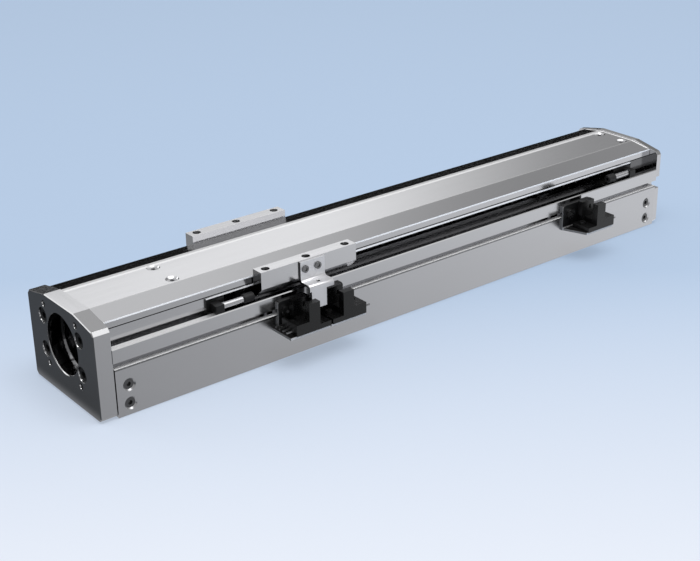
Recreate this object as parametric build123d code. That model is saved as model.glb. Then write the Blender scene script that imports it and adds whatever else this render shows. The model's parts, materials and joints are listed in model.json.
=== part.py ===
from build123d import *
import math
import os

# Linear positioner: a covered ball screw axis with a U-shaped rail, a carriage whose two wings
# rise outside the cover, bumpers at both ends and three slotted sensors on a side rail.
# Millimetres. X runs along the rail from the drive end to the support end, Y is to the left,
# Z is up. The origin is the middle of the rail's underside.

# Clearances and fits
running_gap = 0.05          # shaft in its hole, ball in its groove, measured on the radius
seat_gap = 0.1              # parts of one body that lie beside each other without pressing
slide_gap = 0.6             # carriage to fixed parts beside it
thread_gap = 0.02           # screw shank in its tapped hole
screw_clearance = 0.25      # screw shank in a plain hole, on the radius
edge_break = 0.4            # small chamfer on visible edges

# Rail
rail_length = 346.0
rail_width = 60.0
rail_height = 32.5
rail_floor = 8.0
rail_channel_half = 20.0    # half width of the channel that takes the strips and the housings
rim_thickness = 3.2
shoulder_height = 29.2      # ledge between the strips and the rims
base_bolt_pitch = 100.0
base_bolt_spacing = 22.0
base_bolt_radius = 2.75
base_bolt_head_radius = 4.75
base_bolt_head_depth = 4.4

# T slot in each side of the rail, closed below by the side rail
slot_centre_z = 24.4
slot_mouth = 3.0
slot_cavity_height = 5.8
slot_lip = 3.0
slot_wall_y = 22.5          # back wall of the slot's cavity
side_rail_thickness = 5.0
side_rail_end_gap = 0.4     # seam between a side rail and the end plates

# Guide strips and their balls
strip_thickness = 3.5
strip_top = 32.2
ball_radius = 2.0
ball_row_z = 16.0
ball_offset = 0.3           # ball centre inside the strip's face
balls_per_row = 10
clamp_length = 23.0         # blocks on the ledges that hold the strips' ends
ball_pitch = 4.3

# End plates
plate_width = 59.4
plate_bottom = 0.3
plate_top = 45.6
plate_flat = 26.1
plate_shoulder_z = 42.2
plate_shoulder_cut = 1.45
plate_corner = 1.6
drive_plate_thickness = 8.0
far_plate_thickness = 3.5
notch_height = 6.7
notch_depth = 5.3
far_plate_screw_y = 14.0
far_plate_screw_low_z = 13.0
far_plate_screw_high_z = 36.5

# Screw line and motor interface
screw_axis_z = 26.2
pilot_radius = 14.0
flange_screw_y = 16.4
flange_screw_z = 8.1
flange_screw_radius = 2.0
flange_screw_length = 14.0
flange_head_radius = 3.5
flange_head_height = 4.0
flange_bore_radius = 3.75
flange_bore_depth = 4.6
motor_tap_offset = 14.4     # each tapped hole, from the screw's axis in Y and in Z
motor_tap_radius = 1.5

# Housings
drive_housing_length = 50.5
far_housing_length = 15.95
housing_side_step = 0.15    # housings stand out from the cover's side by this much
housing_side_top = 39.5     # the cover's lips end here beside the housings
housing_screw_radius = 2.0
housing_head_radius = 3.5
housing_head_height = 4.0
housing_screw_length = 12.0
housing_screw_x = 37.0      # from the rail's drive end
housing_screw_y = 15.5
far_housing_screw_y = 8.5
chamber_radius = 12.8
chamber_depth = 30.0

# Bearings
bearing_outer_radius = 11.0
bearing_bore_radius = 4.0
bearing_width = 7.0
bearing_ball_radius = 2.0
bearing_ball_count = 7
far_bearing_outer_radius = 9.5
far_bearing_bore_radius = 3.0
far_bearing_width = 6.0
far_bearing_ball_radius = 1.7
race_thickness = 1.9
retainer_width = 4.0

# Ball screw
screw_radius = 6.0
thread_end_gap = 3.0        # thread stops this short of the support housing
input_radius = 3.0
input_length = 18.0
lock_nut_radius = 7.5
lock_nut_width = 4.0

# Cover
cover_flat = 23.4
cover_top = 45.05
cover_edge_z = 43.15
cover_half_width = 24.15
cover_thickness = 1.8
lip_bottom = 37.8
lip_groove_z = 39.6
lip_groove = 0.35
cover_end_gap = 0.2
cover_screw_y = 8.1
cover_screw_drive_inset = 43.7   # from the rail's ends
cover_screw_far_inset = 6.1

# Countersunk screws
csk_hole_radius = 3.1       # mouth of the countersink
csk_head_radius = 2.4       # so the head lies below the surface
csk_shank_radius = 1.5
csk_length = 8.0
csk_socket = 2.0            # across flats
csk_socket_depth = 1.0
side_screw_x_inset = 6.7
side_screw_low_z = 5.2
side_screw_high_z = 14.1
side_tap_depth = 4.5

# Carriage
carriage_length = 53.8
core_top = 41.0
core_floor_gap = 1.5
arm_bottom = 33.95
arm_top = 37.2
wing_gap = 0.75             # wing to the cover's side
wing_width = 6.35
wing_top = 46.5
wing_chamfer_inset = 2.4    # chamfer's start, from the wing's inner face
wing_chamfer_z = 38.2
wing_hole_inset = 3.4
wing_hole_pitch = 22.5
wing_hole_radius = 2.0
wing_hole_depth = 9.0
nut_radius = 11.0
nut_length = 44.0
nut_pocket_start = 5.0      # from the carriage's drive end
cap_thickness = 4.0
wiper_thickness = 1.2
return_inset = 4.6          # return channel of the balls, in from the block's side
return_drop = 3.2
cap_half = 15.5
cap_top = 39.5
cap_bottom_gap = 0.3
cap_screw_radius = 1.0
cap_screw_tap = 6.0
cap_screw_head = 1.9
cap_screw_height = 1.4
cap_screw_length = 9.0
cap_screw_socket = 1.5
cap_screw_y = 13.0
cap_screw_low_z = 22.5
cap_screw_high_z = 38.0

# Stops, from a housing's face inwards
drive_stop_length = 9.3
far_stop_length = 14.0
stop_bottom = 32.6
stop_height = 5.0
stop_lug_inset = 1.85       # from the housing's face to the lugs that carry the bumpers
stop_lug_length = 4.3
stop_lug_margin = 2.1       # lug past the bumper's middle
stop_lug_height = 3.8
stop_screw_y = 18.0
stop_screw_grip = 5.0       # of the stop under the screw's countersunk mouth
stop_screw_length = 11.0
bumper_inset = 2.5          # bumper's middle, from the wing's inner face
bumper_z = 34.85
stud_radius = 1.5
stud_length = 10.8
bumper_radius = 2.2
bumper_length = 5.6
bumper_chamfer = 0.35
bumper_hollow_radius = 0.9
bumper_hollow = 2.0
drive_rest_gap = 2.35       # carriage to drive bumpers in the pose drawn
far_stop_gap = 0.3          # carriage to far bumpers at the end of its travel

# Sensors and brackets
sheet = 1.2
sensor_length = 19.4
sensor_base_height = 5.4
sensor_flange_height = 2.5  # low end, away from the pins
sensor_height = 14.0
sensor_back = 33.0
sensor_front = 44.5
prong_length = 6.1
prong_back_length = 9.0
prong_shift = 0.5           # prongs off the sensor's middle, away from the pins
prong_back_depth = 3.2
prong_front_depth = 3.5
sensor_ear = 4.2            # ear's hole, in from the sensor's back
ear_step = 2.2
ear_inset = 3.0             # ear's hole, from the sensor's end
ear_radius = 1.7
window_half = 0.6           # light window in the prongs, below the prongs' top
window_low = 4.6
window_high = 2.2
window_width = 6.4
pin_length = 4.0
pin_pitch = 2.7
pin_inset = 0.8             # first pin, from the sensor's back
sensor_screw_head = 1.6
sensor_screw_height = 1.2
sensor_screw_radius = 1.0
sensor_screw_socket = 1.0
shelf_top = 17.0
shelf_front = 43.9
bracket_top = 29.6
bracket_corner = 1.6
bracket_reach = 6.2         # of the upright plate, past the sensor's middle
home_plate_margin = 3.9     # upright plate's end, from its screw
far_plate_margin = 5.0
home_shelf_reach = 12.7     # of the shelf, before the sensor's middle
far_shelf_cut = 5.0
bracket_screw_radius = 1.5
bracket_head_radius = 2.7
bracket_head_height = 1.5
nut_side = 5.5
nut_height = 2.2
home_sensor_lead = 18.8     # home sensor's middle, from the start of the carriage's wing
sensor_spacing = 20.55      # from the home sensor to the drive end's limit sensor
far_sensor_lead = 31.9      # far limit sensor, from the wing's start at the end of its travel
sensor_hole_offset = 6.3    # bracket screw, before the sensor's middle
far_sensor_hole_offset = 10.5

# Flag
flag_sheet = 1.0
flag_start = 20.9           # from the start of the carriage's wing
flag_width = 13.8
flag_tab_inset = 1.0
flag_tab_width = 8.5
flag_lip_drop = 3.0
flag_bend = 1.4             # inner radius of the bends
flag_shelf_top = 36.5
flag_tab_bottom = 24.8
flag_tab_y = 38.1           # inner face of the hanging tab
flag_screw_inset = 2.6      # first screw, from the flag's start
flag_screw_pitch = 7.1
flag_screw_z = 42.3
flag_screw_radius = 1.0
flag_screw_depth = 4.0
flag_head_radius = 1.75
flag_head_height = 0.7
flag_screw_socket = 1.8
flag_hole_radius = 0.9
flag_hole_inset = 7.0
flag_hole_y = -36.0

# Values worked out from the driving dimensions
rail_start = -rail_length / 2
rail_end = rail_length / 2
rail_half = rail_width / 2
rim_inner = rail_half - rim_thickness
plate_half = plate_width / 2
side_rail_inner = rail_half - side_rail_thickness
slot_bottom_z = slot_centre_z - slot_mouth / 2
slot_top_z = slot_centre_z + slot_mouth / 2
cavity_bottom_z = slot_centre_z - slot_cavity_height / 2
cavity_top_z = slot_centre_z + slot_cavity_height / 2
strip_inner = rail_channel_half - strip_thickness
core_half = strip_inner - slide_gap
core_bottom = rail_floor + core_floor_gap
ball_y = strip_inner - ball_offset + running_gap
drive_housing_end = rail_start + drive_housing_length
far_housing_start = rail_end - far_housing_length
drive_lug_face = drive_housing_end + stop_lug_inset + stop_lug_length
far_lug_face = far_housing_start - stop_lug_inset - stop_lug_length
drive_stud_end = drive_lug_face + stud_length
far_stud_end = far_lug_face - stud_length
drive_bumper_face = drive_stud_end + bumper_length
far_bumper_face = far_stud_end - bumper_length
carriage_start = drive_bumper_face + drive_rest_gap
carriage_end = carriage_start + carriage_length
carriage_middle = carriage_start + carriage_length / 2
stroke = far_bumper_face - far_stop_gap - carriage_end
chamber_end = rail_start + chamber_depth
far_bearing_start = far_housing_start + 2.0
far_bearing_end = far_bearing_start + far_bearing_width
cover_inner_half = cover_half_width - cover_thickness
cover_under = cover_top - cover_thickness
drive_cover_screw_x = rail_start + cover_screw_drive_inset
far_cover_screw_x = rail_end - cover_screw_far_inset
csk_sink = csk_hole_radius - csk_head_radius
housing_side = cover_half_width + housing_side_step
wing_inner = cover_half_width + wing_gap
wing_outer = wing_inner + wing_width
wing_chamfer_y = wing_inner + wing_chamfer_inset
wing_hole_y = wing_inner + wing_hole_inset
bumper_y = wing_inner + bumper_inset
stop_lug_half = bumper_y + stop_lug_margin
stop_top = stop_bottom + stop_height
home_sensor_x = carriage_start + home_sensor_lead
drive_limit_sensor_x = home_sensor_x + sensor_spacing
far_limit_sensor_x = carriage_start + stroke + far_sensor_lead
home_hole_x = home_sensor_x - sensor_hole_offset
drive_limit_hole_x = drive_limit_sensor_x - sensor_hole_offset
far_limit_hole_x = far_limit_sensor_x - far_sensor_hole_offset
limit_bracket_start = home_sensor_x + sensor_length / 2 + 0.5
flag_x = carriage_start + flag_start


from_start = (Align.CENTER, Align.CENTER, Align.MIN)


def block(x0, x1, y0, y1, z0, z1):
    """A block between two corners."""
    centre = Pos((x0 + x1) / 2, (y0 + y1) / 2, (z0 + z1) / 2)
    return centre * Box(abs(x1 - x0), abs(y1 - y0), abs(z1 - z0))


def prism(points, x0, x1):
    """A closed outline of (y, z) points, extruded along X."""
    plane = Plane(origin=(x0, 0, 0), x_dir=(0, 1, 0), z_dir=(1, 0, 0))
    outline = make_face(Polyline(*points, close=True))
    return extrude(plane * outline, amount=x1 - x0)


def both_sides(points):
    """Close an outline that is given for +Y, from its bottom to its top, by its mirror image."""
    return points + [(-y, z) for y, z in reversed(points)]


def rod_x(radius, x0, x1, y=0.0, z=screw_axis_z):
    """A round rod along X."""
    return Pos(x0, y, z) * Rot(0, 90, 0) * Cylinder(radius, x1 - x0, align=from_start)


def rod_z(radius, x, y, z0, z1):
    """A round rod along Z."""
    return Pos(x, y, z0) * Cylinder(radius, z1 - z0, align=from_start)


def rod_y(radius, x, z, y0, y1):
    """A round rod along Y, from y0 to the larger y1."""
    return Pos(x, y1, z) * Rot(90, 0, 0) * Cylinder(radius, y1 - y0, align=from_start)


def ring_x(outer, inner, x0, x1, y=0.0, z=screw_axis_z):
    """A plain ring along X."""
    return rod_x(outer, x0, x1, y, z) - rod_x(inner, x0, x1, y, z)


def countersunk(length=csk_length):
    """A countersunk screw along -Z for a hole whose mouth is at z = 0, with a hexagon socket."""
    shank = csk_shank_radius - thread_gap
    cone_end = -csk_sink - (csk_head_radius - shank)
    profile = Polyline((0, -csk_sink), (csk_head_radius, -csk_sink), (shank, cone_end), (shank, -length),
                       (0, -length), close=True)
    body = revolve(Plane.XZ * make_face(profile), Axis.Z)
    hexagon = RegularPolygon(csk_socket / math.sqrt(3), 6)
    return body - Pos(0, 0, -csk_sink) * extrude(hexagon, amount=-csk_socket_depth)


def countersink_cut(length=csk_length):
    """The hole that a countersunk screw sits in, with a plain hole below the head."""
    plain = csk_shank_radius + screw_clearance
    profile = Polyline((0, 0), (csk_hole_radius, 0), (plain, plain - csk_hole_radius), (plain, -length),
                       (0, -length), close=True)
    return revolve(Plane.XZ * make_face(profile), Axis.Z)


def socket_screw(head_radius, head_height, shank, length, socket):
    """A socket head screw along -Z, with the underside of its head at z = 0."""
    profile = Polyline((0, head_height), (head_radius, head_height), (head_radius, 0), (shank, 0),
                       (shank, -length), (0, -length), close=True)
    body = revolve(Plane.XZ * make_face(profile), Axis.Z)
    hexagon = RegularPolygon(socket / math.sqrt(3), 6)
    return body - Pos(0, 0, head_height) * extrude(hexagon, amount=-head_height * 0.6)


def facing_minus_x(shape):
    """Turn a screw so that its head looks along -X."""
    return Rot(0, -90, 0) * shape


def facing_plus_x(shape):
    """Turn a screw so that its head looks along +X."""
    return Rot(0, 90, 0) * shape


def facing_side(shape, side):
    """Turn a screw so that its head looks along +Y (side 1) or -Y (side -1)."""
    return Rot(-90 * side, 0, 0) * shape


def group(shapes):
    """Separate solids that share one node."""
    return Compound(children=list(shapes))


def mirrored(shape):
    """The same shape on the other side of the rail."""
    return mirror(shape, about=Plane.XZ)


# Rail and what is fixed to it

def base_bolt_places():
    return [(x, y) for x in (-base_bolt_pitch, 0.0, base_bolt_pitch)
            for y in (-base_bolt_spacing / 2, base_bolt_spacing / 2)]


def housing_screw_places():
    """Screws from the rail's underside into the two housings."""
    drive = [(rail_start + housing_screw_x, y) for y in (-housing_screw_y, housing_screw_y)]
    far = [(far_housing_start + far_housing_length / 2, y) for y in (-far_housing_screw_y, far_housing_screw_y)]
    return drive + far


def side_screw_places():
    return [(x, z) for x in (rail_start + side_screw_x_inset, rail_end - side_screw_x_inset)
            for z in (side_screw_low_z, side_screw_high_z)]


def base_rail():
    half = [(side_rail_inner, 0), (side_rail_inner, cavity_bottom_z),
            (slot_wall_y, cavity_bottom_z), (slot_wall_y, cavity_top_z),
            (rail_half - slot_lip, cavity_top_z), (rail_half - slot_lip, slot_top_z),
            (rail_half, slot_top_z), (rail_half, rail_height - edge_break),
            (rail_half - edge_break, rail_height), (rim_inner, rail_height),
            (rim_inner, shoulder_height), (rail_channel_half, shoulder_height),
            (rail_channel_half, rail_floor)]
    rail = prism(both_sides(half), rail_start, rail_end)
    for x, y in base_bolt_places():
        rail -= rod_z(base_bolt_radius, x, y, -1, rail_floor + 1)
        rail -= rod_z(base_bolt_head_radius, x, y, rail_floor - base_bolt_head_depth, rail_floor + 1)
    for x, y in housing_screw_places():
        rail -= rod_z(housing_screw_radius + screw_clearance, x, y, -1, rail_floor + 1)
        rail -= rod_z(housing_head_radius + screw_clearance, x, y, -1, housing_head_height + screw_clearance)
    for x, z in side_screw_places():
        for y0, y1 in ((-side_rail_inner - 1, -side_rail_inner + side_tap_depth),
                       (side_rail_inner - side_tap_depth, side_rail_inner + 1)):
            rail -= rod_y(csk_shank_radius, x, z, y0, y1)
    return rail


def side_rail(side):
    """Plate under the T slot. Its top forms the slot's lower lip."""
    outline = [(side_rail_inner + seat_gap / 2, 0.0), (rail_half, 0.0), (rail_half, slot_bottom_z),
               (rail_half - slot_lip, slot_bottom_z), (rail_half - slot_lip, cavity_bottom_z),
               (side_rail_inner + seat_gap / 2, cavity_bottom_z)]
    plate = prism([(side * y, z) for y, z in outline], rail_start + side_rail_end_gap,
                  rail_end - side_rail_end_gap)
    for x, z in side_screw_places():
        plate -= Pos(x, side * rail_half, z) * facing_side(countersink_cut(), side)
    return plate


def side_rail_screws():
    return group(Pos(x, side * rail_half, z) * facing_side(countersunk(), side)
                 for side in (-1, 1) for x, z in side_screw_places())


def guide_strip(side):
    """Hardened strip with one ball groove, held between the clamps at both ends."""
    start = drive_housing_end + seat_gap
    end = far_housing_start - seat_gap
    outline = [(strip_inner, rail_floor), (rail_channel_half - seat_gap / 2, rail_floor),
               (rail_channel_half - seat_gap / 2, strip_top), (strip_inner, strip_top)]
    strip = prism([(side * y, z) for y, z in outline], start, end)
    return strip - rod_x(ball_radius + running_gap, start - 1, end + 1, side * ball_y, ball_row_z)


def rail_clamps(x0, x1):
    """Blocks on the rail's ledges that hold the upper part of the guide strips."""
    right = block(x0, x1, -rim_inner + seat_gap, -rail_channel_half, shoulder_height, strip_top)
    return group([right, mirrored(right)])


def plate_outline():
    slope = (plate_top - plate_shoulder_z) / (plate_half - plate_flat / 2)
    points = [(plate_half - plate_corner, plate_bottom), (plate_half, plate_bottom + plate_corner),
              (plate_half, plate_shoulder_z - plate_shoulder_cut),
              (plate_half - plate_shoulder_cut, plate_shoulder_z + slope * plate_shoulder_cut),
              (plate_flat / 2, plate_top)]
    return both_sides(points)


def drive_end_plate():
    x0 = rail_start - drive_plate_thickness
    plate = prism(plate_outline(), x0, rail_start)
    plate = chamfer(plate.edges().group_by(Axis.X)[0], edge_break)
    plate -= rod_x(pilot_radius, x0 - 1, rail_start + 1)
    mouth = Cone(pilot_radius + edge_break, pilot_radius, edge_break, align=from_start)
    plate -= Pos(x0, 0, screw_axis_z) * Rot(0, 90, 0) * mouth
    for y in (-flange_screw_y, flange_screw_y):
        for z in (-flange_screw_z, flange_screw_z):
            plate -= rod_x(flange_screw_radius + screw_clearance, x0 - 1, rail_start + 1, y, screw_axis_z + z)
            plate -= rod_x(flange_bore_radius, x0 - 1, x0 + flange_bore_depth, y, screw_axis_z + z)
    for y in (-motor_tap_offset, motor_tap_offset):
        for z in (-motor_tap_offset, motor_tap_offset):
            plate -= rod_x(motor_tap_radius, x0 - 1, rail_start + 1, y, screw_axis_z + z)
    return plate


def drive_plate_screws():
    x = rail_start - drive_plate_thickness + flange_bore_depth
    screw = facing_minus_x(socket_screw(flange_head_radius, flange_head_height,
                                        flange_screw_radius - thread_gap, flange_screw_length, 3.0))
    return group(Pos(x, y, screw_axis_z + z) * screw for y in (-flange_screw_y, flange_screw_y)
                 for z in (-flange_screw_z, flange_screw_z))


def far_screw_places():
    return [(y, z) for y in (-far_plate_screw_y, far_plate_screw_y)
            for z in (far_plate_screw_low_z, far_plate_screw_high_z)]


def far_end_plate():
    x1 = rail_end + far_plate_thickness
    plate = prism(plate_outline(), rail_end, x1)
    plate = chamfer(plate.edges().group_by(Axis.X)[-1], edge_break)
    for side in (-1, 1):
        edge = side * plate_half
        plate -= block(rail_end - 1, x1 + 1, edge - side * notch_depth, edge + side,
                       slot_centre_z - notch_height / 2, slot_centre_z + notch_height / 2)
    for y, z in far_screw_places():
        plate -= Pos(x1, y, z) * facing_plus_x(countersink_cut())
    return plate


def far_plate_screws():
    x1 = rail_end + far_plate_thickness
    screw = facing_plus_x(countersunk())
    return group(Pos(x1, y, z) * screw for y, z in far_screw_places())


def housing_outline():
    """Section of a housing, seated in the rail and under the cover."""
    inside = rail_channel_half - seat_gap
    under_edge = cover_edge_z - cover_thickness - seat_gap
    return both_sides([(inside, rail_floor), (inside, shoulder_height), (housing_side, shoulder_height),
                       (housing_side, housing_side_top - seat_gap),
                       (cover_inner_half - seat_gap, housing_side_top - seat_gap),
                       (cover_inner_half - seat_gap, under_edge), (cover_flat / 2 - 1, cover_under)])


def drive_bearing_housing():
    body = prism(housing_outline(), rail_start, drive_housing_end)
    body -= rod_x(chamber_radius, rail_start - 1, chamber_end)
    body -= rod_x(bearing_outer_radius, chamber_end - 1, chamber_end + 2 * bearing_width)
    body -= rod_x(bearing_outer_radius - race_thickness, rail_start, drive_housing_end + 1)
    for y in (-flange_screw_y, flange_screw_y):
        for z in (-flange_screw_z, flange_screw_z):
            body -= rod_x(flange_screw_radius, rail_start - 1, rail_start + flange_screw_length,
                          y, screw_axis_z + z)
    for y in (-cover_screw_y, cover_screw_y):
        body -= rod_z(csk_shank_radius, drive_cover_screw_x, y, cover_top - csk_length - 1, cover_top)
    for x, y in housing_screw_places()[:2]:
        body -= rod_z(housing_screw_radius, x, y, 0, housing_head_height + housing_screw_length + 1)
    for y, z in stop_screw_places():
        body -= rod_x(csk_shank_radius, drive_housing_end - stop_screw_length, drive_housing_end + 1, y, z)
    return body


def support_bearing_housing():
    body = prism(housing_outline(), far_housing_start, rail_end)
    body -= rod_x(far_bearing_bore_radius + 2.5, far_housing_start - 1, rail_end - 3)
    body -= rod_x(far_bearing_outer_radius, far_bearing_start, rail_end + 1)
    for y, z in far_screw_places():
        body -= rod_x(csk_shank_radius, rail_end - csk_length, rail_end + 1, y, z)
    for y in (-cover_screw_y, cover_screw_y):
        body -= rod_z(csk_shank_radius, far_cover_screw_x, y, cover_top - csk_length - 1, cover_top)
    for x, y in housing_screw_places()[2:]:
        body -= rod_z(housing_screw_radius, x, y, 0, housing_head_height + housing_screw_length + 1)
    for y, z in stop_screw_places():
        body -= rod_x(csk_shank_radius, far_housing_start - 1, far_housing_start + stop_screw_length, y, z)
    return body


def housing_screws():
    """Socket head screws with their heads sunk in the rail's underside."""
    screw = Rot(180, 0, 0) * socket_screw(housing_head_radius, housing_head_height,
                                          housing_screw_radius - thread_gap, housing_screw_length, 3.0)
    return group(Pos(x, y, housing_head_height + screw_clearance) * screw for x, y in housing_screw_places())


# Cover

def cover_section():
    slope = (cover_top - cover_edge_z) / (cover_half_width - cover_flat / 2)
    inner_edge_z = cover_under - slope * (cover_inner_half - cover_flat / 2)
    groove_y = cover_half_width - lip_groove
    return both_sides([
        (cover_inner_half, inner_edge_z), (cover_inner_half, lip_bottom),
        (cover_half_width - edge_break, lip_bottom), (cover_half_width, lip_bottom + edge_break),
        (cover_half_width, lip_groove_z - edge_break), (groove_y, lip_groove_z - edge_break / 2),
        (groove_y, lip_groove_z), (cover_half_width, lip_groove_z + edge_break / 2),
        (cover_half_width, cover_edge_z), (cover_flat / 2, cover_top)])


def cover_screw_places():
    return [(x, y) for x in (drive_cover_screw_x, far_cover_screw_x) for y in (-cover_screw_y, cover_screw_y)]


def top_cover():
    outer = cover_section()
    half = len(outer) // 2
    inner = [(cover_flat / 2, cover_under)]
    points = inner + outer[:half] + outer[half:] + [(-cover_flat / 2, cover_under)]
    cover = prism(points, rail_start + cover_end_gap, rail_end - cover_end_gap)
    for x0, x1 in ((rail_start - 1, drive_housing_end + seat_gap), (far_housing_start - seat_gap, rail_end + 1)):
        for side in (-1, 1):
            cover -= block(x0, x1, side * (cover_inner_half - 1), side * (cover_half_width + 1),
                           lip_bottom - 1, housing_side_top)
    for x, y in cover_screw_places():
        cover -= Pos(x, y, cover_top) * countersink_cut()
    return cover


def cover_screws():
    return group(Pos(x, y, cover_top) * countersunk() for x, y in cover_screw_places())


# Bearings

def race_pair(x0, width, outer, bore, ball, count):
    """Outer ring, inner ring and balls of one ball bearing."""
    middle = x0 + width / 2
    pitch = (outer + bore) / 2
    groove = Pos(middle, 0, screw_axis_z) * Rot(0, 90, 0) * Torus(pitch, ball + running_gap)
    outer_ring = ring_x(outer, outer - race_thickness, x0, x0 + width) - groove
    inner_ring = ring_x(bore + race_thickness, bore, x0, x0 + width) - groove
    balls = []
    for i in range(count):
        angle = 2 * math.pi * i / count
        balls.append(Pos(middle, pitch * math.sin(angle), screw_axis_z + pitch * math.cos(angle)) * Sphere(ball))
    return outer_ring, inner_ring, balls


def drive_bearings():
    return [race_pair(chamber_end + i * bearing_width, bearing_width, bearing_outer_radius, bearing_bore_radius,
                      bearing_ball_radius, bearing_ball_count) for i in range(2)]


def far_bearing():
    return race_pair(far_bearing_start, far_bearing_width, far_bearing_outer_radius, far_bearing_bore_radius,
                     far_bearing_ball_radius, bearing_ball_count)


def bearing_retainer_ring():
    return ring_x(chamber_radius, lock_nut_radius + 1.0, chamber_end - retainer_width, chamber_end)


# Screw

def ball_screw_shaft():
    nut_start = chamber_end - lock_nut_width
    shoulder = chamber_end + 2 * bearing_width
    thread_start = drive_housing_end - 1.0
    thread_end = far_housing_start - thread_end_gap
    shaft = rod_x(input_radius, nut_start - 1.5 - input_length, nut_start)
    shaft += rod_x(bearing_bore_radius, nut_start - 1.5, shoulder)
    shaft += rod_x(bearing_bore_radius + race_thickness - 0.3, shoulder, thread_start)
    shaft += rod_x(screw_radius, thread_start, thread_end)
    shaft += rod_x(far_bearing_bore_radius + 1.2, thread_end, far_bearing_start)
    shaft += rod_x(far_bearing_bore_radius, far_bearing_start, far_bearing_end + 2.5)
    return shaft


def bearing_lock_nut():
    nut = ring_x(lock_nut_radius, bearing_bore_radius, chamber_end - lock_nut_width, chamber_end)
    for angle in (0, 90, 180, 270):
        slot = block(-1, lock_nut_width * 2, -1.2, 1.2, lock_nut_radius - 1.2, lock_nut_radius + 1)
        nut -= Pos(chamber_end - lock_nut_width, 0, screw_axis_z) * Rot(angle, 0, 0) * slot
    return nut


def support_circlip():
    clip = ring_x(far_bearing_bore_radius + 1.6, far_bearing_bore_radius, far_bearing_end, far_bearing_end + 0.8)
    return clip - block(far_bearing_end - 1, far_bearing_end + 2, -1.2, 1.2, screw_axis_z,
                        screw_axis_z + far_bearing_bore_radius + 3)


# Stops

def stop_screw_places():
    return [(y, stop_bottom + stop_height / 2) for y in (-stop_screw_y, stop_screw_y)]


def stop_bar(length):
    """Stop from a housing's face at x = 0: a block over the rims and a low lug on each side for a bumper."""
    bar = block(0, length, -housing_side, housing_side, stop_bottom, stop_top)
    bar += block(stop_lug_inset, stop_lug_inset + stop_lug_length, -stop_lug_half, stop_lug_half,
                 stop_bottom, stop_bottom + stop_lug_height)
    for y, z in stop_screw_places():
        bar -= Pos(stop_screw_grip, y, z) * facing_plus_x(countersink_cut(stop_screw_grip + 1))
        bar -= block(stop_screw_grip, length + 1, y - csk_hole_radius, y + csk_hole_radius,
                     stop_bottom - 1, stop_top + 1)
    return bar


def stop_screw_pair():
    screw = facing_plus_x(countersunk(stop_screw_length))
    return [Pos(stop_screw_grip, y, z) * screw for y, z in stop_screw_places()]


def at_drive_end(shape):
    """Put a part drawn from a housing's face on the drive end's housing."""
    return Pos(drive_housing_end, 0, 0) * shape


def at_far_end(shape):
    """Put a part drawn from a housing's face on the support end's housing, turned round."""
    return Pos(far_housing_start, 0, 0) * mirror(shape, about=Plane.YZ)


def stop_bar_screws():
    drive = [at_drive_end(screw) for screw in stop_screw_pair()]
    far = [at_far_end(screw) for screw in stop_screw_pair()]
    return group(drive + far)


def bumper_studs(x0, x1):
    return group(rod_x(stud_radius, x0, x1, y, bumper_z) for y in (-bumper_y, bumper_y))


def bumpers(x0, x1, open_x):
    """Rubber tips with a small screw hollow in the face that meets the carriage."""
    tips = []
    for y in (-bumper_y, bumper_y):
        tip = rod_x(bumper_radius, x0, x1, y, bumper_z)
        tip = chamfer(tip.edges().filter_by(GeomType.CIRCLE), bumper_chamfer)
        tip -= rod_x(bumper_hollow_radius, open_x, open_x + bumper_hollow, y, bumper_z)
        tips.append(tip)
    return group(tips)


# Carriage

def carriage_section():
    """Half section of the block, its arm over the rim and its wing beside the cover."""
    head = cover_inner_half - slide_gap - 0.3
    return both_sides([
        (core_half, core_bottom), (core_half, arm_bottom), (wing_chamfer_y, arm_bottom),
        (wing_outer, wing_chamfer_z), (wing_outer, wing_top), (wing_inner, wing_top),
        (wing_inner, arm_top), (head, arm_top), (head, core_top - 1.0), (cover_flat / 2, core_top)])


def wing_hole_places():
    return [(carriage_middle + i * wing_hole_pitch, side * wing_hole_y) for side in (-1, 1) for i in (-1, 0, 1)]


def flag_screw_xs():
    first = flag_x + flag_screw_inset
    return [first, first + flag_screw_pitch]


def carriage_block():
    body = prism(carriage_section(), carriage_start, carriage_end)
    body -= rod_x(nut_radius, carriage_start + nut_pocket_start, carriage_end + 1)
    body -= rod_x(screw_radius + 1.5, carriage_start - 1, carriage_end)
    for side in (-1, 1):
        body -= rod_x(ball_radius + running_gap, carriage_start - 1, carriage_end + 1, side * ball_y, ball_row_z)
        body -= rod_x(ball_radius + running_gap, carriage_start - 1, carriage_end + 1,
                      side * (core_half - return_inset), ball_row_z - return_drop)
    for x, y in wing_hole_places():
        body -= rod_z(wing_hole_radius, x, y, wing_top - wing_hole_depth, wing_top + 1)
    for x in flag_screw_xs():
        body -= rod_y(flag_screw_radius, x, flag_screw_z, -wing_outer - 1, -wing_outer + flag_screw_depth)
    for y, z in cap_screw_places():
        for x0, x1 in ((carriage_start - 1, carriage_start + cap_screw_tap),
                       (carriage_end - cap_screw_tap, carriage_end + 1)):
            body -= rod_x(cap_screw_radius, x0, x1, y, z)
    return body


def cap_screw_places():
    return [(y, z) for y in (-cap_screw_y, cap_screw_y) for z in (cap_screw_low_z, cap_screw_high_z)]


def ball_nut():
    nut = ring_x(nut_radius, screw_radius + running_gap, carriage_end - nut_length, carriage_end)
    return nut


def end_cap(x0, x1):
    """Cap that turns the balls round at the end of the block."""
    bottom = core_bottom + cap_bottom_gap
    outline = both_sides([(cap_half - 1, bottom), (cap_half, bottom + 1), (cap_half, cap_top - 1),
                          (cap_half - 1, cap_top)])
    cap = prism(outline, x0, x1) - rod_x(screw_radius + 0.6, x0 - 1, x1 + 1)
    for y, z in cap_screw_places():
        cap -= rod_x(cap_screw_radius + screw_clearance, x0 - 1, x1 + 1, y, z)
    return cap


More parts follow.
